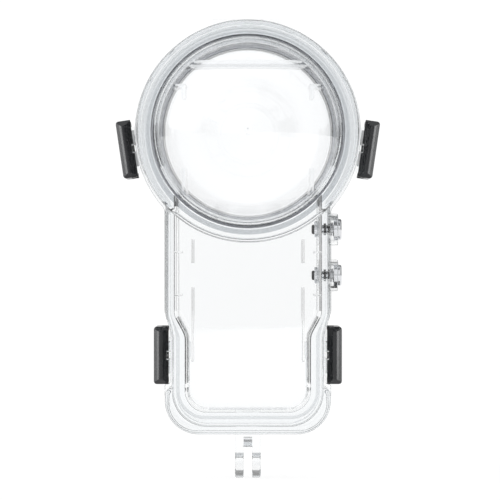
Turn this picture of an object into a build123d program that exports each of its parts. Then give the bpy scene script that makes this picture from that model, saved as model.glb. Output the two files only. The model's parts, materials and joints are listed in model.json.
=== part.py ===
from build123d import *
import math
import os

# Clear dive housing for a two-lens action camera. Millimetres, +Z up, front faces -Y.
# The origin is the centre of the mount's cross bore. +X is the side with the push buttons.

# ---- driving dimensions --------------------------------------------------------------------
HEAD_Z = 122.5            # centre of the round head
SPLIT_Y = 9.0             # parting plane between the front shell and the rear cover
FLANGE = 4.0              # thickness of each half's flange
FLANGE_ROUND = 0.4
PARTING_GAP = 0.1         # the gasket holds the two halves this far apart
COVER_Y = SPLIT_Y + PARTING_GAP
BODY_HALF = 18.0          # front and back faces of the body
HEAD_HALF = 20.0          # front and back faces of the head
CAVITY_HALF = 15.0        # camera space, front to back

# outlines seen from the front: head radius, upper and lower half widths, bottom, corner radius
FLANGE_LINE = dict(head=42.6, upper=31.4, lower=29.3, bottom=9.4, corner=16.0)
DRUM_LINE = dict(head=41.4, upper=30.6, lower=28.2, bottom=12.8, corner=13.0)
SEAL_LINE = dict(head=39.4, upper=29.5, lower=26.1, bottom=15.7, corner=10.0)
CAVITY_LINE = dict(head=36.15, upper=27.5, lower=23.5, bottom=18.0, corner=8.3)
STEP_LOW, STEP_HIGH = 46.5, 54.0      # where the side walls step out
STEP_R = 7.0
FOOT_HALF_WIDTH = 31.4                # the flange flares out again below the lower latches
FOOT_TOP = 27.6
# the thick foot behind the flange: half width, bottom, top, depth from the middle plane
FOOT = dict(half=30.9, bottom=9.8, top=27.2, depth=14.5, corner=12.5, shoulder=3.0, round=2.0)

# the low ribs on the inside of the face: from x, to x, from z, to z
UPRIGHT_RIBS = ((20.2, 21.0, 37.0, 64.4), (20.2, 21.0, 73.6, 82.3))
LEDGE_RIBS = ((24.7, 27.8, 61.2, 61.9), (24.7, 27.8, 77.2, 77.9))
RIB_ROUND, RIB_HEIGHT, RIB_ROOT = 0.3, 1.2, 0.5

GROOVE_HALF, GROOVE_DEPTH = 0.65, 2.2
TONGUE_HALF, TONGUE_HEIGHT = 0.5, 0.9

# the cover's tab at the top of the head, between two lugs of the front shell
TAB_HALF, TAB_FRONT, TAB_Z = 7.8, 1.0, 163.4
LUG_OUT, LUG_TOP = 13.5, 165.0
THUMB_HALF, THUMB_Z = 4.9, 162.3      # nail recess in the tab
POCKET_OUT, POCKET_R = 17.7, 39.6     # the pocket beyond each lug

DOME_R, DOME_WALL = 36.0, 2.15
DOME_CENTRE = 12.0                    # distance of the dome's centre from the middle plane
DOME_FLANGE_R, DOME_SEAT_R = 38.4, 38.6
DOME_FLANGE_DEPTH, DOME_SEAT_DEPTH = 2.25, 3.0
DOME_SKIRT = 2.0
DOME_KEY_HALF, DOME_KEY = 3.65, 1.0   # keying notches in the skirt, top and bottom
RING_IN, RING_OUT, RING_THICK = 33.95, 36.0, 0.75

# the two-finger mount
BORE_R = 2.55
FINGER, FINGER_GAP = 3.2, 3.2
FINGER_R = 7.0
GAP_ROOT_R = 8.5
ROOT_FILLET = 3.0
FINGER_ROUND, GAP_ROUND = 0.7, 0.4

# push buttons, along X
BUTTON_Z = dict(upper=86.1, lower=68.9)
BOSS_R, BOSS_X = 6.0, 33.8
RECESS_R, RECESS_X = 4.15, 30.6
CAP_R, CAP_IN, CAP_OUT = 4.0, 32.2, 35.1
CAP_WELL_R, CAP_WELL_X = 3.0, 33.9
SHAFT_R, SHAFT_IN, SHAFT_OUT = 1.5, 24.6, 34.35
GLAND_R, GLAND_X = 2.25, 28.3
CLIP_R, CLIP_IN, CLIP_OUT = 3.1, 24.9, 27.35
TIP_R, TIP_IN = 1.8, 23.9
SLIP = 0.03                           # radial clearance of a sliding fit
SPRING_R, WIRE_R, SPRING_TURNS = 2.4, 0.22, 3

# latches, in their own frame: x outward from the outer face, y as the housing's, z along the latch
LATCH_HALF = 10.7
LATCH_CORNER = 1.2
LOWER_LATCH = (35.0, 39.2, 0.0)       # outer face x, centre z, tilt in degrees
UPPER_LATCH_RADIUS, UPPER_LATCH_TILT = 48.3, -8.4
ARM_PIN = (-2.7, 13.0)
LEVER_PIN = (-2.3, -1.5)
ARM_BARREL_R, LEVER_BARREL_R = 2.5, 2.2
PIN_R, PIN_HALF = 1.0, 10.2
PIN_SLIP = 0.05
PLATE_OUT, PLATE_IN = -0.1, -2.8
EAR_IN, EAR_OUT, EAR_R = 5.5, 8.7, 2.3
BARREL_HALF = 5.0                     # the arm's middle barrel on the lever's pin
SIDE_GAP = 0.2
CLAW_BACK, CLAW_FRONT, CLAW_TIP = -9.9, -12.0, -5.5
KEEPER_FRONT, KEEPER_BACK, KEEPER_TOP, KEEPER_ROOT = -9.5, -6.5, -4.7, -8.6
KEEPER_IN, KEEPER_OUT = 1.2, 6.8      # the keeper is two blocks with a post between them
POST_HALF = 0.55
NOTCH_HALF, NOTCH_DEPTH = 1.7, 0.75
KEEPER_LEAD = 1.6                     # ramp on the keeper's front
# the lever's front is a wedge with hipped ends: its ridge, its inner edge and its hips
RIDGE_X, RIDGE_Y, RIDGE_R = -2.4, -14.4, 2.2
NOSE_EDGE_X, NOSE_EDGE_Y = -0.3, -12.8
HIP, NOSE_INNER_Y = 2.3, -12.4


# ---- helpers -------------------------------------------------------------------------------
def slab(sketch, y_front, y_back):
    """A sketch drawn as seen from the front, made solid between two depths."""
    plane = Plane((0, y_back, 0), x_dir=(1, 0, 0), z_dir=(0, -1, 0))
    return plane * extrude(sketch, y_back - y_front)


def box(x0, x1, y0, y1, z0, z1):
    centre = Pos((x0 + x1) / 2, (y0 + y1) / 2, (z0 + z1) / 2)
    return centre * Box(x1 - x0, y1 - y0, z1 - z0)


def rod_x(radius, x0, x1, z=0.0):
    """A cylinder along X in the middle plane."""
    return Pos((x0 + x1) / 2, 0, z) * Rot(0, 90, 0) * Cylinder(radius, x1 - x0)


def drum(radius, y0, y1):
    """A cylinder along Y about the head's centre."""
    return Pos(0, (y0 + y1) / 2, HEAD_Z) * Rot(90, 0, 0) * Cylinder(radius, y1 - y0)


def mirrored(solid):
    return mirror(solid, about=Plane.YZ)


def both_sides(solid):
    return solid + mirrored(solid)


def side_points(line, grow):
    """The right side of a body outline from its bottom corner up, with the corner radii."""
    upper, lower = line["upper"] + grow, line["lower"] + grow
    top = [(lower, STEP_LOW), (upper, STEP_HIGH), (upper, HEAD_Z - 18)]
    return top, [STEP_R, STEP_R, 0.0]


def outline(line, grow=0.0, foot=False):
    """A body outline with the round head, grown or shrunk on every side."""
    bottom, corner = line["bottom"] - grow, line["corner"] + grow
    right, radii = side_points(line, grow)
    if foot:
        flare = [(FOOT_HALF_WIDTH, bottom), (FOOT_HALF_WIDTH, FOOT_TOP), (right[0][0], FOOT_TOP + 1)]
        right = flare + [(right[0][0], 51.0), (right[1][0], 55.0), right[2]]
        radii = [corner, 0.6, 0.5, 2.0, 3.0, 0.0]
    else:
        right = [(right[0][0], bottom)] + right
        radii = [corner] + radii
    left = [(-x, z) for x, z in reversed(right)]
    body = make_face(FilletPolyline(right + left, radius=radii + radii[::-1], close=True))
    head = Pos(0, HEAD_Z) * Circle(line["head"] + grow)
    whole = body + head
    neck = [v for v in whole.vertices() if abs(abs(v.X) - (line["upper"] + grow)) < 0.01 and v.Y > 80]
    return fillet(neck, 3.0)


def body_only(line):
    """The body outline without the head's circle."""
    right, radii = side_points(line, 0.0)
    right = [(right[0][0], line["bottom"])] + right
    radii = [line["corner"]] + radii
    left = [(-x, z) for x, z in reversed(right)]
    return make_face(FilletPolyline(right + left, radius=radii + radii[::-1], close=True))


def front_edges(solid, y):
    return solid.edges().filter_by(lambda e: abs(e.center().Y - y) < 0.01 and e.bounding_box().size.Y < 0.01)


def latch_frames():
    """The two latch frames on the +X side."""
    x, z, _ = LOWER_LATCH
    tilt = math.radians(UPPER_LATCH_TILT)
    out = (math.cos(tilt), 0, math.sin(tilt))
    up = (-math.sin(tilt), 0, math.cos(tilt))
    centre = (UPPER_LATCH_RADIUS * out[0], 0, HEAD_Z + UPPER_LATCH_RADIUS * out[2])
    return {
        "upper": Plane(centre, x_dir=out, z_dir=up),
        "lower": Plane((x, 0, z), x_dir=(1, 0, 0), z_dir=(0, 0, 1)),
    }


def at_latches(solid):
    """A piece drawn in the latch frame, at all four latches."""
    right = [frame * solid for frame in latch_frames().values()]
    return right + [mirrored(piece) for piece in right]


def rod_z(radius, centre, z0, z1):
    return Pos(centre[0], centre[1], (z0 + z1) / 2) * Cylinder(radius, z1 - z0)


def pair_z(solid):
    """A piece and its mirror image across the latch's middle."""
    return solid + mirror(solid, about=Plane.XY)


# ---- shells --------------------------------------------------------------------------------
def shell_blank(front):
    """One half of the case, hollowed for the camera, before its own details."""
    sign = -1 if front else 1
    near = SPLIT_Y - FLANGE if front else SPLIT_Y + FLANGE
    parting = SPLIT_Y if front else COVER_Y
    span = sorted((near, sign * BODY_HALF))
    body = slab(body_only(DRUM_LINE), *span)
    body = fillet(front_edges(body, sign * BODY_HALF), 1.8) + foot_block(sign, near)
    head = drum(DRUM_LINE["head"], *sorted((near, sign * HEAD_HALF)))
    head = fillet(front_edges(head, sign * HEAD_HALF), 1.7)
    flange = slab(outline(FLANGE_LINE, foot=True), *sorted((parting, near)))
    flange = fillet(front_edges(flange, near), FLANGE_ROUND)
    cavity = slab(body_only(CAVITY_LINE), *sorted((parting, sign * CAVITY_HALF)))
    cavity = fillet(front_edges(cavity, sign * CAVITY_HALF), 2.0)
    bore = drum(CAVITY_LINE["head"], *sorted((parting, sign * (HEAD_HALF + 1))))
    seat_at = sign * (HEAD_HALF - DOME_SEAT_DEPTH)
    seat = drum(DOME_SEAT_R, *sorted((seat_at, sign * (HEAD_HALF + 1))))
    return body + head + flange - cavity - bore - seat


def foot_block(sign, near):
    """The rounded foot that widens the case below the lower latches."""
    half, low, high = FOOT["half"], FOOT["bottom"], FOOT["top"]
    corners = [(half, high), (half, low), (-half, low), (-half, high)]
    radii = [FOOT["shoulder"], FOOT["corner"], FOOT["corner"], FOOT["shoulder"]]
    face = make_face(FilletPolyline(corners, radius=radii, close=True))
    block = slab(face, *sorted((near, sign * FOOT["depth"])))
    reach = FOOT["depth"] - abs(near)
    return fillet(front_edges(block, sign * FOOT["depth"]), min(FOOT["round"], 0.8 * reach))


def camera_guides(y0, y1):
    """Walls in the head that steer the camera's shoulders and carry its top stop."""
    low_wall = box(23.5, 25.0, y0, y1, 98.0, 108.8)
    low_web = box(23.5, 30.0, y0, y1, 98.0, 99.6)
    high_wall = box(23.5, 25.0, y0, y1, 135.0, 140.6)
    high_web = box(23.5, 33.0, y0, y1, 139.2, 140.6)
    stop = box(-28.0, 28.0, y0, y1, 148.0, 149.6)
    return both_sides(low_wall + low_web + high_wall + high_web) + stop


def inner_ribs(wall_y, tip_y):
    """Low upright ribs on the inside of the face, which the camera rests between."""
    y0, y1 = sorted((wall_y, tip_y))
    bars = [box(x0, x1, y0, y1, z0, z1) for x0, x1, z0, z1 in UPRIGHT_RIBS + LEDGE_RIBS]
    rounded = [fillet(front_edges(bar, tip_y), RIB_ROUND) for bar in bars]
    return rounded + [mirrored(bar) for bar in rounded]


def front_shell():
    shell = shell_blank(front=True)
    groove = slab(outline(SEAL_LINE, GROOVE_HALF) - outline(SEAL_LINE, -GROOVE_HALF),
                  SPLIT_Y - GROOVE_DEPTH, SPLIT_Y + 1)
    shell -= groove
    shell += camera_guides(-9.0, 6.0)
    for rib in inner_ribs(-CAVITY_HALF - RIB_ROOT, -CAVITY_HALF + RIB_HEIGHT):
        shell += rib
    for z in BUTTON_Z.values():
        boss = rod_x(BOSS_R, 29.0, BOSS_X, z)
        rim = boss.edges().filter_by(lambda e: abs(e.center().X - BOSS_X) < 0.01)
        shell += fillet(rim, 0.5)
        shell -= rod_x(RECESS_R, RECESS_X, BOSS_X + 1, z)
        shell -= rod_x(GLAND_R, GLAND_X, RECESS_X + 0.5, z)
        shell -= rod_x(SHAFT_R + 0.1, 26.0, GLAND_X + 0.5, z)
    post = box(KEEPER_ROOT, KEEPER_TOP, KEEPER_FRONT, KEEPER_BACK, -POST_HALF, POST_HALF)
    block = box(KEEPER_ROOT, KEEPER_TOP, KEEPER_FRONT, KEEPER_BACK, KEEPER_IN, KEEPER_OUT)
    lead = block.edges().filter_by(Axis.Z).sort_by(lambda e: e.center().X - e.center().Y)[-1]
    block = chamfer(lead, KEEPER_LEAD)
    for keeper in at_latches(post + pair_z(block)):
        shell += keeper
    shell += both_sides(box(TAB_HALF, LUG_OUT, TAB_FRONT - 1, SPLIT_Y, TAB_Z - 1.3, LUG_TOP))
    shell -= box(-TAB_HALF, TAB_HALF, TAB_FRONT - 1, SPLIT_Y + 1, TAB_Z, LUG_TOP + 5)
    shell -= lug_pockets(SPLIT_Y - FLANGE)
    return mount_fingers(shell)


def lug_pockets(y_back):
    """Shallow pockets in the head's wall, just outside the two lugs."""
    ring = drum(DRUM_LINE["head"] + 1, y_back - 8, y_back) - drum(POCKET_R, y_back - 9, y_back + 1)
    reach = box(LUG_OUT, POCKET_OUT, y_back - 9, y_back + 1, HEAD_Z, LUG_TOP + 5)
    return both_sides(ring & reach)


def mount_fingers(shell):
    """The two-finger mount, with a round gap root that a mating finger can swing in."""
    half = FINGER_GAP / 2 + FINGER
    wall_z = DRUM_LINE["bottom"] + 0.6
    web = box(-half, half, -FINGER_R, FINGER_R, 0, wall_z) + rod_x(FINGER_R, -half, half)
    rim = web.edges().filter_by(lambda e: abs(abs(e.center().X) - half) < 0.01)
    rim = rim.filter_by(lambda e: e.center().Z < wall_z - 0.1)
    web = fillet(rim, FINGER_ROUND) - rod_x(GAP_ROOT_R, -FINGER_GAP / 2, FINGER_GAP / 2)
    ends = web.edges().filter_by(GeomType.CIRCLE)
    ends = ends.filter_by(lambda e: abs(abs(e.center().X) - FINGER_GAP / 2) < 0.01 and e.center().Z < -1)
    web = fillet(ends, GAP_ROUND)
    foot_z = DRUM_LINE["bottom"]
    spread = half + ROOT_FILLET
    foot = box(-spread, spread, -FINGER_R, FINGER_R, foot_z - ROOT_FILLET, wall_z)
    for side in (-1, 1):
        hollow = Pos(side * spread, 0, foot_z - ROOT_FILLET) * Rot(90, 0, 0)
        foot -= hollow * Cylinder(ROOT_FILLET, 2 * FINGER_R + 2)
    gap = rod_x(GAP_ROOT_R, -FINGER_GAP / 2, FINGER_GAP / 2)
    shell = shell + web + foot - gap
    shell -= rod_x(BORE_R, -half - 1, half + 1)
    return shell


def rear_cover():
    cover = shell_blank(front=False)
    ring = outline(SEAL_LINE, TONGUE_HALF) - outline(SEAL_LINE, -TONGUE_HALF)
    cover += slab(ring, SPLIT_Y - TONGUE_HEIGHT, COVER_Y + 0.5)
    for rib in inner_ribs(CAVITY_HALF + RIB_ROOT, CAVITY_HALF - RIB_HEIGHT):
        cover += rib
    ear = rod_z(EAR_R, ARM_PIN, EAR_IN, EAR_OUT)
    ear += box(-9.4, ARM_PIN[0], ARM_PIN[1] - EAR_R, ARM_PIN[1] + EAR_R, EAR_IN, EAR_OUT)
    ear -= rod_z(PIN_R + PIN_SLIP, ARM_PIN, 0, LATCH_HALF)
    for ears in at_latches(pair_z(ear)):
        cover += ears
    cover += box(0.3 - TAB_HALF, TAB_HALF - 0.3, TAB_FRONT, COVER_Y + 2, TAB_Z + 0.2, LUG_TOP)
    back = SPLIT_Y + FLANGE
    return cover - box(-THUMB_HALF, THUMB_HALF, back - 1.6, back + 1, THUMB_Z, LUG_TOP + 1)


def dome(front):
    """A dome with a short skirt and the flange that seats it in the head's face."""
    seat_h = HEAD_HALF - DOME_CENTRE
    inner = DOME_R - DOME_WALL
    meet = math.sqrt(DOME_R ** 2 - seat_h ** 2)
    under = seat_h - DOME_FLANGE_DEPTH
    mid = math.sqrt(0.5)
    start = math.atan2(seat_h, meet)
    half_way = (start + math.pi / 2) / 2
    outer_arc = ThreePointArc((0, DOME_R), (DOME_R * math.cos(half_way), DOME_R * math.sin(half_way)),
                              (meet, seat_h))
    steps = Polyline((meet, seat_h), (DOME_FLANGE_R, seat_h), (DOME_FLANGE_R, under), (DOME_R, under),
                     (DOME_R, -DOME_SKIRT), (inner, -DOME_SKIRT), (inner, 0))
    inner_arc = ThreePointArc((inner, 0), (inner * mid, inner * mid), (0, inner))
    axis_edge = Line((0, inner), (0, DOME_R))
    profile = make_face(outer_arc + steps + inner_arc + axis_edge)
    solid = revolve(profile, Axis.Y)
    solid -= Pos(0, -DOME_SKIRT, 0) * Box(2 * DOME_KEY_HALF, 2 * DOME_KEY, 3 * DOME_R)
    turned = solid if not front else Rot(0, 0, 180) * solid
    return Pos(0, -DOME_CENTRE if front else DOME_CENTRE, HEAD_Z) * turned


def dome_seal(front):
    sign = -1 if front else 1
    low, high = HEAD_HALF - DOME_SEAT_DEPTH + 0.03, HEAD_HALF - DOME_FLANGE_DEPTH - 0.03
    span = sorted((sign * low, sign * high))
    return drum(38.3, *span) - drum(36.5, *span)


def dome_ring(front):
    """A soft ring on the end of the dome's skirt."""
    sign = -1 if front else 1
    end = DOME_CENTRE - DOME_SKIRT - 0.03
    span = sorted((sign * end, sign * (end - RING_THICK)))
    return drum(RING_OUT, *span) - drum(RING_IN, *span)


def main_gasket():
    """A rectangular ring that lies in the groove under the cover's tongue."""
    grow = GROOVE_HALF - 0.08
    ring = outline(SEAL_LINE, grow) - outline(SEAL_LINE, -grow)
    return slab(ring, SPLIT_Y - GROOVE_DEPTH + 0.03, SPLIT_Y - TONGUE_HEIGHT - 0.03)


# ---- latches, drawn at the origin of the latch frame ----------------------------------------
def latch_section(y0, y1):
    """The latch's section seen from the front, with its outer corners rounded."""
    depth = -CLAW_TIP
    blank = box(-depth, 0, y0, y1, -LATCH_HALF, LATCH_HALF)
    corners = blank.edges().filter_by(Axis.Y).filter_by(lambda e: e.center().X > -0.1)
    return fillet(corners, LATCH_CORNER)


def latch_arm():
    top = ARM_PIN[1] - ARM_BARREL_R - 0.4
    low = LEVER_PIN[1] + LEVER_BARREL_R + 0.3
    arm = box(PLATE_IN, PLATE_OUT, low, top, -LATCH_HALF, LATCH_HALF)
    for z0, z1 in ((0, EAR_IN - SIDE_GAP), (EAR_OUT + SIDE_GAP, LATCH_HALF)):
        knuckle = box(PLATE_IN, PLATE_OUT, top - 0.1, ARM_PIN[1], z0, z1)
        arm += pair_z(knuckle + rod_z(ARM_BARREL_R, ARM_PIN, z0, z1))
    neck = box(PLATE_IN, PLATE_OUT, LEVER_PIN[1], low + 0.1, 0, BARREL_HALF)
    arm += pair_z(neck + rod_z(LEVER_BARREL_R, LEVER_PIN, 0, BARREL_HALF))
    arm &= latch_section(LEVER_PIN[1] - 3, ARM_PIN[1] + 3)
    for z in (-6.0, -3.6, -1.2, 1.2, 3.6, 6.0):
        arm -= box(-0.6, 0.1, low + 1.6, top - 1.6, z - 0.4, z + 0.4)
    arm -= rod_z(PIN_R + PIN_SLIP, ARM_PIN, -LATCH_HALF - 1, LATCH_HALF + 1)
    arm -= rod_z(PIN_R + PIN_SLIP, LEVER_PIN, -LATCH_HALF - 1, LATCH_HALF + 1)
    return arm


def latch_nose():
    """The wedge on the front of the lever: a section along the latch, cut to a hip at both ends."""
    base = CLAW_FRONT + 0.1
    corners = [(0, base), (0, CLAW_FRONT), (NOSE_EDGE_X, NOSE_EDGE_Y), (RIDGE_X, RIDGE_Y),
               (CLAW_TIP, NOSE_INNER_Y), (CLAW_TIP, base)]
    bar = extrude(make_face(Polyline(*corners, close=True)), LATCH_HALF, both=True)
    ridge = bar.edges().filter_by(Axis.Z).sort_by(lambda e: e.center().Y)[0]
    bar = fillet(ridge, RIDGE_R)
    inner = LATCH_HALF - HIP
    ends = [(-LATCH_HALF, base), (-LATCH_HALF, CLAW_FRONT), (-inner, RIDGE_Y), (inner, RIDGE_Y),
            (LATCH_HALF, CLAW_FRONT), (LATCH_HALF, base)]
    side = Plane((0, 0, 0), x_dir=(0, 0, 1), z_dir=(1, 0, 0))
    trapezoid = make_face(Polyline(*[(z, -y) for z, y in ends], close=True))
    return bar & (side * extrude(trapezoid, 2 * LATCH_HALF, both=True))


def latch_lever():
    back = LEVER_PIN[1] - LEVER_BARREL_R - 0.3
    lever = box(PLATE_IN, PLATE_OUT, CLAW_BACK - 0.1, back, -LATCH_HALF, LATCH_HALF)
    ear_in = BARREL_HALF + SIDE_GAP
    ear = box(PLATE_IN, PLATE_OUT, back - 0.1, LEVER_PIN[1], ear_in, LATCH_HALF)
    lever += pair_z(ear + rod_z(LEVER_BARREL_R, LEVER_PIN, ear_in, LATCH_HALF))
    claw = box(CLAW_TIP, 0, CLAW_FRONT, CLAW_BACK, -LATCH_HALF, LATCH_HALF)
    lead = claw.edges().filter_by(Axis.Z).sort_by(lambda e: e.center().X + e.center().Y)[0]
    lever += chamfer(lead, 0.9)
    lever += latch_nose()
    lever &= latch_section(RIDGE_Y - 1, LEVER_PIN[1] + 3)
    lever -= box(CLAW_TIP - 1, CLAW_TIP + NOTCH_DEPTH, RIDGE_Y - 1, CLAW_BACK + 0.05,
                 -NOTCH_HALF, NOTCH_HALF)
    lever -= rod_z(PIN_R + PIN_SLIP, LEVER_PIN, -LATCH_HALF - 1, LATCH_HALF + 1)
    return lever


# ---- buttons, drawn at height z -------------------------------------------------------------
def button_cap(z):
    cap = rod_x(CAP_R, CAP_IN, CAP_OUT, z)
    rim = cap.edges().filter_by(lambda e: abs(e.center().X - CAP_OUT) < 0.01)
    cap = fillet(rim, 0.6)
    dish_r = 12.0
    cap -= Pos(CAP_OUT + dish_r - 0.45, 0, z) * Sphere(dish_r)
    cap -= rod_x(CAP_WELL_R, CAP_IN - 1, CAP_WELL_X, z)
    return cap - rod_x(SHAFT_R + SLIP, CAP_IN, SHAFT_OUT + 0.05, z)


def button_shaft(z):
    shaft = rod_x(SHAFT_R, SHAFT_IN, SHAFT_OUT, z)
    return chamfer(shaft.edges().filter_by(GeomType.CIRCLE), 0.15)


def button_clip(z):
    clip = rod_x(CLIP_R, CLIP_IN, CLIP_OUT, z)
    clip = fillet(clip.edges().filter_by(GeomType.CIRCLE), 0.35)
    clip -= rod_x(SHAFT_R + SLIP, CLIP_IN - 1, CLIP_OUT + 1, z)
    return clip - box(CLIP_IN - 1, CLIP_OUT + 1, -0.7, 0.7, z - CLIP_R - 1, z - SHAFT_R)


def button_tip(z):
    tip = rod_x(TIP_R, TIP_IN, CLIP_IN - 0.05, z)
    nose = tip.edges().filter_by(lambda e: abs(e.center().X - TIP_IN) < 0.01)
    return fillet(nose, 0.6) - rod_x(SHAFT_R + SLIP, SHAFT_IN - 0.05, CLIP_IN + 1, z)


def button_spring(z):
    length = CAP_WELL_X - RECESS_X - 2 * WIRE_R - 0.1
    path = Helix(pitch=length / SPRING_TURNS, height=length, radius=SPRING_R)
    wire = Plane(path @ 0, z_dir=path % 0) * Circle(WIRE_R)
    coil = sweep(wire, path)
    return Pos(RECESS_X + WIRE_R + 0.05, 0, z) * Rot(0, 90, 0) * coil


def o_rings(z):
    middle = (SHAFT_R + GLAND_R) / 2
    section = (GLAND_R - SHAFT_R) / 2 - 0.015
    rings = []
    for x in (GLAND_X + 0.42, GLAND_X + 1.2):
        rings.append(Pos(x, 0, z) * Rot(0, 90, 0) * Torus(middle, section))
    return rings


def gland_bush(z):
    bush = rod_x(GLAND_R - SLIP, RECESS_X - 0.65, RECESS_X - 0.03, z)
    return bush - rod_x(SHAFT_R + SLIP, RECESS_X - 2, RECESS_X + 2, z)


# ---- camera rests ----------------------------------------------------------------------------
def foot_pad():
    pad = box(-14.5, 14.5, -11.5, 8.0, CAVITY_LINE["bottom"] + 0.02, 19.4)
    for x in (-9.6, -4.8, 0.0, 4.8, 9.6):
        pad -= box(x - 0.8, x + 0.8, -12, 9, 18.9, 20)
    return pad


def top_pad():
    pad = box(-20.8, 20.8, -6.0, 5.0, 147.0, 147.98)
    return fillet(pad.edges().filter_by(Axis.Y), 0.4)


def side_pads():
    """A thin strip up each side wall, thicker where it centres the camera."""
    head = box(21.3, 23.48, -4.0, 4.0, 37.5, 44.3)
    head = fillet(head.edges().filter_by(Axis.Y).filter_by(lambda e: e.center().X < 22), 0.9)
    pad = head + box(22.3, 23.48, -4.0, 4.0, 29.6, 38.4)
    return [pad, mirrored(pad)]


# ---- everything, one file per node -----------------------------------------------------------
def nodes():
    made = {
        "front_shell": front_shell(),
        "front_dome": dome(front=True),
        "front_dome_seal": dome_seal(front=True),
        "front_dome_ring": dome_ring(front=True),
        "main_gasket": main_gasket(),
        "rear_cover": rear_cover(),
        "rear_dome": dome(front=False),
        "rear_dome_seal": dome_seal(front=False),
        "rear_dome_ring": dome_ring(front=False),
        "latch_arm_pins": at_latches(rod_z(PIN_R, ARM_PIN, -PIN_HALF, PIN_HALF)),
        "camera_foot_pad": foot_pad(),
        "camera_top_pad": top_pad(),
        "camera_side_pads": side_pads(),
    }
    arm, lever = latch_arm(), latch_lever()
    lever_pin = rod_z(PIN_R, LEVER_PIN, -PIN_HALF, PIN_HALF)
    for level, frame in latch_frames().items():
        for name, piece in (("latch_arm", arm), ("latch_lever", lever), ("lever_pin", lever_pin)):
            made[f"{name}_{level}_right"] = frame * piece
            made[f"{name}_{level}_left"] = mirrored(frame * piece)
    rings, bushes = [], []
    for level, z in BUTTON_Z.items():
        made[f"button_{level}_cap"] = button_cap(z)
        made[f"button_{level}_shaft"] = button_shaft(z)
        made[f"button_{level}_clip"] = button_clip(z)
        made[f"button_{level}_tip"] = button_tip(z)
        made[f"button_{level}_spring"] = button_spring(z)
        rings += o_rings(z)
        bushes.append(gland_bush(z))
    made["button_o_rings"] = rings
    made["button_bushes"] = bushes
    return made


os.makedirs("parts", exist_ok=True)
for node, shape in nodes().items():
    solids = []
    for piece in shape if isinstance(shape, list) else [shape]:
        solids += piece.solids()
    whole = solids[0] if len(solids) == 1 else Compound(children=solids)
    export_step(whole, f"parts/{node}.step")
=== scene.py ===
import bpy
import json
import math
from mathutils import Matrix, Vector


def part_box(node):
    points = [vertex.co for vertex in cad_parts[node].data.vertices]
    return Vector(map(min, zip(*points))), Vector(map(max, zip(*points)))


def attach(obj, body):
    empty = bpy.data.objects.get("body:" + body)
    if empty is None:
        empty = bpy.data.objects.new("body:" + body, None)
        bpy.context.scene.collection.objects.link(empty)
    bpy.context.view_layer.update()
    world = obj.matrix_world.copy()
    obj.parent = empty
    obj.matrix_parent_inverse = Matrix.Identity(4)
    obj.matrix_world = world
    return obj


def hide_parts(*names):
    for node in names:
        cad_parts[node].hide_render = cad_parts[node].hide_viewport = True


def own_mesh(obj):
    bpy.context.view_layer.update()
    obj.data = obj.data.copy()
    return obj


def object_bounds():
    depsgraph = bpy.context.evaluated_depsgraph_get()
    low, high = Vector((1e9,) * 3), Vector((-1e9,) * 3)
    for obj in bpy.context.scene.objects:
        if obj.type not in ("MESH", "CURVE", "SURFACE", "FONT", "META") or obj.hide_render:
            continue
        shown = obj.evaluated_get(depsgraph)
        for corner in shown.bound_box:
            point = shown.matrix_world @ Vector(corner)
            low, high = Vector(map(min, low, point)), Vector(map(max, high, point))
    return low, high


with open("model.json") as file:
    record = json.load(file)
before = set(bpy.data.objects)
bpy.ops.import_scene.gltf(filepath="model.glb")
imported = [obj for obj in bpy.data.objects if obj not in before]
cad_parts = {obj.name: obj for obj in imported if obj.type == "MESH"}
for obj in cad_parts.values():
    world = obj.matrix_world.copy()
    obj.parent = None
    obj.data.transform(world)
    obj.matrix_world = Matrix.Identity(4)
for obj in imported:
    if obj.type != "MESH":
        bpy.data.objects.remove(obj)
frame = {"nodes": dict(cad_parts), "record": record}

CAD_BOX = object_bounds()
NODES = frame["nodes"]
MM = 0.001


# ---- node helpers -----------------------------------------------------------------------------
class Maker:
    """Adds nodes to one material or world and links them."""

    def __init__(self, tree):
        self.tree = tree
        tree.nodes.clear()

    def add(self, kind, **settings):
        node = self.tree.nodes.new(kind)
        for name, value in settings.items():
            setattr(node, name, value)
        return node

    def link(self, out, into):
        self.tree.links.new(out, into)


def new_material(name):
    material = bpy.data.materials.new(name)
    material.use_nodes = True
    return material, Maker(material.node_tree)


def rgba(colour):
    return (*colour, 1.0)


def noise(make, coord, scale, detail=2.0, rough=0.5):
    node = make.add("ShaderNodeTexNoise")
    node.inputs["Scale"].default_value = scale
    node.inputs["Detail"].default_value = detail
    node.inputs["Roughness"].default_value = rough
    make.link(coord, node.inputs["Vector"])
    return node.outputs["Fac"]


def spread(make, value, low, high, from_low=0.3, from_high=0.7):
    node = make.add("ShaderNodeMapRange")
    limits = (("From Min", from_low), ("From Max", from_high), ("To Min", low), ("To Max", high))
    for key, number in limits:
        node.inputs[key].default_value = number
    make.link(value, node.inputs["Value"])
    return node.outputs["Result"]


def bump(make, height, distance, under=None):
    node = make.add("ShaderNodeBump")
    node.inputs["Strength"].default_value = 1.0
    node.inputs["Distance"].default_value = distance
    make.link(height, node.inputs["Height"])
    if under is not None:
        make.link(under, node.inputs["Normal"])
    return node.outputs["Normal"]


def mixed(make, a, b, how, share=1.0):
    """Colour b over colour a; b and share are sockets or plain values."""
    node = make.add("ShaderNodeMix", data_type="RGBA", blend_type=how)
    for socket, value in ((node.inputs[0], share), (node.inputs[6], a), (node.inputs[7], b)):
        if isinstance(value, bpy.types.NodeSocket):
            make.link(value, socket)
        else:
            socket.default_value = value
    return node.outputs[2]


# ---- materials --------------------------------------------------------------------------------
ABSORBED = (0.80, 0.83, 0.85)          # what a thick clear wall lets through
CLOUD_SCALE, BROAD_SCALE, GRAIN_SCALE = 120.0, 260.0, 1500.0
CRISP_ANGLE = 28                       # edges sharper than this stay crisp, in degrees


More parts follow.
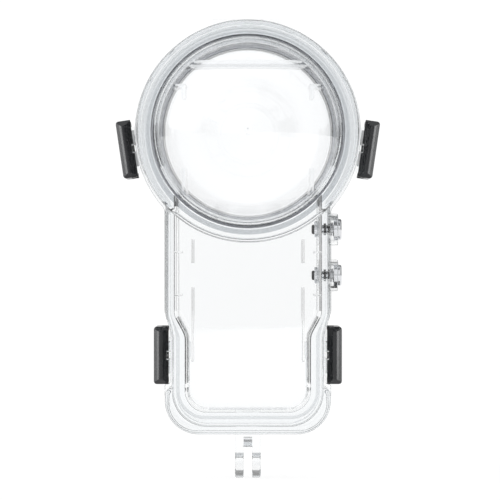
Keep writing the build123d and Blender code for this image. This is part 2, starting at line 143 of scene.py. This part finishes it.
def clear_plastic(name, tint, ior, ripple_mm, density=0.0):
    """Clear moulded plastic: faint flow ripple, fine scuffs, and absorption along the walls."""
    material, make = new_material(name)
    shader = make.add("ShaderNodeBsdfPrincipled")
    shader.inputs["Base Color"].default_value = rgba(tint)
    shader.inputs["Transmission Weight"].default_value = 1.0
    shader.inputs["IOR"].default_value = ior
    coord = make.add("ShaderNodeTexCoord").outputs["Object"]
    scuffs = noise(make, coord, 900.0, 4.0, 0.6)
    make.link(spread(make, scuffs, 0.0, 0.035, 0.45, 0.8), shader.inputs["Roughness"])
    flow = noise(make, coord, 45.0, 1.0, 0.4)
    make.link(bump(make, flow, ripple_mm * MM), shader.inputs["Normal"])
    out = make.add("ShaderNodeOutputMaterial")
    make.link(shader.outputs["BSDF"], out.inputs["Surface"])
    if density > 0:
        volume = make.add("ShaderNodeVolumeAbsorption")
        volume.inputs["Color"].default_value = rgba(ABSORBED)
        volume.inputs["Density"].default_value = density
        make.link(volume.outputs["Volume"], out.inputs["Volume"])
    return material


def solid_material(name, base, dark, rough, metal=0.0, bump_mm=0.02):
    """An opaque finish: colour drifts between two tones, and grain drives roughness and bump."""
    material, make = new_material(name)
    shader = make.add("ShaderNodeBsdfPrincipled")
    shader.inputs["Metallic"].default_value = metal
    coord = make.add("ShaderNodeTexCoord").outputs["Object"]
    cloud = spread(make, noise(make, coord, CLOUD_SCALE, 3.0), 0.0, 1.0)
    make.link(mixed(make, rgba(dark), rgba(base), "MIX", cloud), shader.inputs["Base Color"])
    fine = noise(make, coord, GRAIN_SCALE, 2.0)
    make.link(spread(make, fine, rough[0], rough[1]), shader.inputs["Roughness"])
    broad = bump(make, noise(make, coord, BROAD_SCALE, 2.0), bump_mm * MM)
    make.link(bump(make, fine, bump_mm * MM, broad), shader.inputs["Normal"])
    out = make.add("ShaderNodeOutputMaterial")
    make.link(shader.outputs["BSDF"], out.inputs["Surface"])
    return material


MATERIALS = {
    "clear_polycarbonate": clear_plastic(
        "clear_polycarbonate", (0.985, 0.99, 0.992), 1.58, 0.02, density=10.0),
    "dome_clear": clear_plastic("dome_clear", (0.99, 0.995, 1.0), 1.5, 0.01, density=14.0),
    "clear_silicone": clear_plastic("clear_silicone", (0.80, 0.81, 0.82), 1.41, 0.03),
    # the seal's own grey, darkened further so this ring also gives the dark band around the dome's
    # edge: partly painted shade
    "grey_silicone": clear_plastic("grey_silicone", (0.42, 0.43, 0.45), 1.41, 0.03),
    "latch_nylon": solid_material(
        "latch_nylon", (0.010, 0.011, 0.013), (0.006, 0.0065, 0.008), (0.2, 0.28), bump_mm=0.002),
    "pin_steel": solid_material(
        "pin_steel", (0.6, 0.61, 0.63), (0.5, 0.51, 0.53), (0.22, 0.34), metal=1.0, bump_mm=0.006),
    "polished_steel": solid_material(
        "polished_steel", (0.78, 0.79, 0.81), (0.7, 0.71, 0.73), (0.08, 0.16), metal=1.0,
        bump_mm=0.003),
    "spring_steel": solid_material(
        "spring_steel", (0.55, 0.56, 0.58), (0.45, 0.46, 0.48), (0.2, 0.3), metal=1.0,
        bump_mm=0.004),
    "black_rubber": solid_material(
        "black_rubber", (0.03, 0.03, 0.032), (0.02, 0.02, 0.021), (0.45, 0.6), bump_mm=0.008),
}


def smooth_by_angle(mesh, degrees):
    """Smooth shading that stays crisp at edges sharper than this angle."""
    mesh.shade_smooth()
    mesh.set_sharp_from_angle(angle=math.radians(degrees))


for row in frame["record"]["subparts"]:
    piece = NODES[row["node"]]
    piece.data.materials.clear()
    piece.data.materials.append(MATERIALS[row["material_slot"]])
    smooth_by_angle(piece.data, CRISP_ANGLE)


# ---- the button springs -----------------------------------------------------------------------
SPRING_R, WIRE_R = 2.4 * MM, 0.22 * MM
SPRING_TURNS, END_TURN = 4.0, 0.75     # all turns, and the closed turn at each end
TURN_STEPS, WIRE_SIDES = 36, 10


def rise(turn):
    """Height along the spring, 0 to 1: closed end turns and an even pitch between them."""
    free = (turn - END_TURN) / (SPRING_TURNS - 2 * END_TURN)
    free = min(max(free, 0.0), 1.0)
    closed = 0.12                      # share of the height that each closed turn takes up
    before = min(turn / END_TURN, 1.0) * closed
    after = max((turn - SPRING_TURNS + END_TURN) / END_TURN, 0.0) * closed
    return before + free * (1 - 2 * closed) + after


def spring_mesh(name, low, high):
    """A round-wire compression spring along X, between two corners of its box."""
    x0, x1 = low.x + WIRE_R, high.x - WIRE_R
    mid_y, mid_z = (low.y + high.y) / 2, (low.z + high.z) / 2
    count = int(SPRING_TURNS * TURN_STEPS) + 1
    verts, faces = [], []
    for i in range(count):
        turn = i / TURN_STEPS
        angle = 2 * math.pi * turn
        out = Vector((0, math.cos(angle), math.sin(angle)))
        centre = Vector((x0 + (x1 - x0) * rise(turn), mid_y, mid_z)) + out * SPRING_R
        for j in range(WIRE_SIDES):
            around = 2 * math.pi * j / WIRE_SIDES
            verts.append(centre + WIRE_R * (math.cos(around) * out + Vector((math.sin(around), 0, 0))))
    for i in range(count - 1):
        for j in range(WIRE_SIDES):
            a, b = i * WIRE_SIDES + j, i * WIRE_SIDES + (j + 1) % WIRE_SIDES
            faces.append((a, b, b + WIRE_SIDES, a + WIRE_SIDES))
    last = (count - 1) * WIRE_SIDES
    faces.append(tuple(range(WIRE_SIDES)))
    faces.append(tuple(last + j for j in reversed(range(WIRE_SIDES))))
    mesh = bpy.data.meshes.new(name)
    mesh.from_pydata(verts, [], faces)
    mesh.materials.append(MATERIALS["spring_steel"])
    smooth_by_angle(mesh, 50)
    return mesh


for level in ("upper", "lower"):
    node = f"button_{level}_spring"
    low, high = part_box(node)
    coil_mesh = spring_mesh(f"{node}_coil", low, high)
    coil = bpy.data.objects.new(f"{node}_coil", coil_mesh)
    bpy.context.scene.collection.objects.link(coil)
    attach(coil, "housing")
    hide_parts(node)
    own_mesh(coil)


# ---- stage ------------------------------------------------------------------------------------
FLOOR_REACH = 3.0
FLOOR_GLOW = 0.93                      # the paper is lit from below, so it takes no shadow


def floor_material():
    material, make = new_material("studio_paper")
    shader = make.add("ShaderNodeBsdfPrincipled")
    shader.inputs["Base Color"].default_value = rgba((0.15, 0.15, 0.15))
    shader.inputs["Specular IOR Level"].default_value = 0.0
    shader.inputs["Emission Color"].default_value = rgba((1.0, 1.0, 1.0))
    shader.inputs["Emission Strength"].default_value = FLOOR_GLOW
    coord = make.add("ShaderNodeTexCoord").outputs["Object"]
    make.link(spread(make, noise(make, coord, 400.0), 0.8, 0.95), shader.inputs["Roughness"])
    out = make.add("ShaderNodeOutputMaterial")
    make.link(shader.outputs["BSDF"], out.inputs["Surface"])
    return material


floor_z = CAD_BOX[0][2]
corners = [(x * FLOOR_REACH, y * FLOOR_REACH, floor_z) for x, y in ((-1, -1), (1, -1), (1, 1), (-1, 1))]
floor_mesh = bpy.data.meshes.new("studio_floor")
floor_mesh.from_pydata(corners, [], [(0, 1, 2, 3)])
floor_mesh.materials.append(floor_material())
floor = bpy.data.objects.new("studio_floor", floor_mesh)
bpy.context.scene.collection.objects.link(floor)

# ---- light: a lit backdrop, dark cards around it, bright sides and one high softbox ------------
world = bpy.data.worlds.new("studio")
bpy.context.scene.world = world
world.use_nodes = True
sky = Maker(world.node_tree)
DIRECTION = sky.add("ShaderNodeTexCoord").outputs["Generated"]


def toward(aim):
    """0 looking away from this direction, 0.5 across it and 1 straight along it."""
    dot = sky.add("ShaderNodeVectorMath", operation="DOT_PRODUCT")
    sky.link(DIRECTION, dot.inputs[0])
    dot.inputs[1].default_value = Vector(aim).normalized()
    return spread(sky, dot.outputs["Value"], 0.0, 1.0, -1.0, 1.0)


def ramp_of(value, stops):
    node = sky.add("ShaderNodeValToRGB")
    node.color_ramp.interpolation = "EASE"
    elements = node.color_ramp.elements
    for place, _ in stops[1:-1]:
        elements.new(place)
    for element, (place, shade) in zip(elements, stops):
        element.position = place
        element.color = rgba((shade, shade, shade))
    sky.link(value, node.inputs["Fac"])
    return node.outputs["Color"]


BACKDROP = (0.0, 1.0, 0.0)
cards = ramp_of(toward(BACKDROP),
                ((0, 0.6), (0.3, 0.6), (0.36, 1.0), (0.66, 1.0), (0.72, 0.3), (1, 0.3)))
side_fall = ramp_of(toward((1, 0, -0.2)), ((0, 1.1), (0.5, 1.0), (0.8, 0.7), (1, 0.6)))
softbox = ramp_of(toward((-0.45, -0.75, 0.5)), ((0, 0), (0.85, 0), (0.97, 0.5), (1, 0.5)))
backdrop = ramp_of(toward(BACKDROP), ((0, 0), (0.93, 0), (0.98, 1), (1, 1)))
look = mixed(sky, cards, side_fall, "MULTIPLY")
look = mixed(sky, look, softbox, "ADD")
look = mixed(sky, look, rgba((1.06, 1.06, 1.06)), "MIX", backdrop)
background = sky.add("ShaderNodeBackground")
sky.link(look, background.inputs["Color"])
world_out = sky.add("ShaderNodeOutputWorld")
sky.link(background.outputs["Background"], world_out.inputs["Surface"])

# one strip light on each side, which only the dark latches of that side catch
STRIP_POWER, STRIP_SIZE, STRIP_AWAY = 5.0, 0.5, 0.7
for name, side in (("left", -1), ("right", 1)):
    catchers = bpy.data.collections.new(f"strip_catchers_{name}")
    for node, piece in NODES.items():
        if node.startswith("latch_") and node.endswith(name):
            catchers.objects.link(piece)
    lamp = bpy.data.lights.new(f"side_strip_{name}", "AREA")
    lamp.energy = STRIP_POWER
    lamp.size = STRIP_SIZE
    stand = bpy.data.objects.new(lamp.name, lamp)
    aim = Vector((side * 0.82, -0.57, 0.1)).normalized()
    stand.location = aim * STRIP_AWAY + Vector((0, 0, (floor_z + CAD_BOX[1][2]) / 2))
    stand.rotation_euler = aim.to_track_quat("Z", "Y").to_euler()
    bpy.context.scene.collection.objects.link(stand)
    stand.light_linking.receiver_collection = catchers

# ---- camera -----------------------------------------------------------------------------------
FRAME_WIDTH = 0.1875                   # what the picture spans at the object
EYE_X, EYE_Z = 0.0008, 0.0784
camera_data = bpy.data.cameras.new("camera")
camera_data.lens = 300.0
camera_data.sensor_width = 36.0
camera_data.clip_end = 20.0
camera = bpy.data.objects.new("camera", camera_data)
bpy.context.scene.collection.objects.link(camera)
away = FRAME_WIDTH * camera_data.lens / camera_data.sensor_width
camera.location = (EYE_X, -away, EYE_Z)
camera.rotation_euler = (math.radians(90), 0, 0)
bpy.context.scene.camera = camera
bpy.context.scene.view_settings.view_transform = "Standard"
bpy.context.scene.cycles.max_bounces = 32
bpy.context.scene.cycles.transmission_bounces = 32
bpy.context.scene.cycles.glossy_bounces = 12
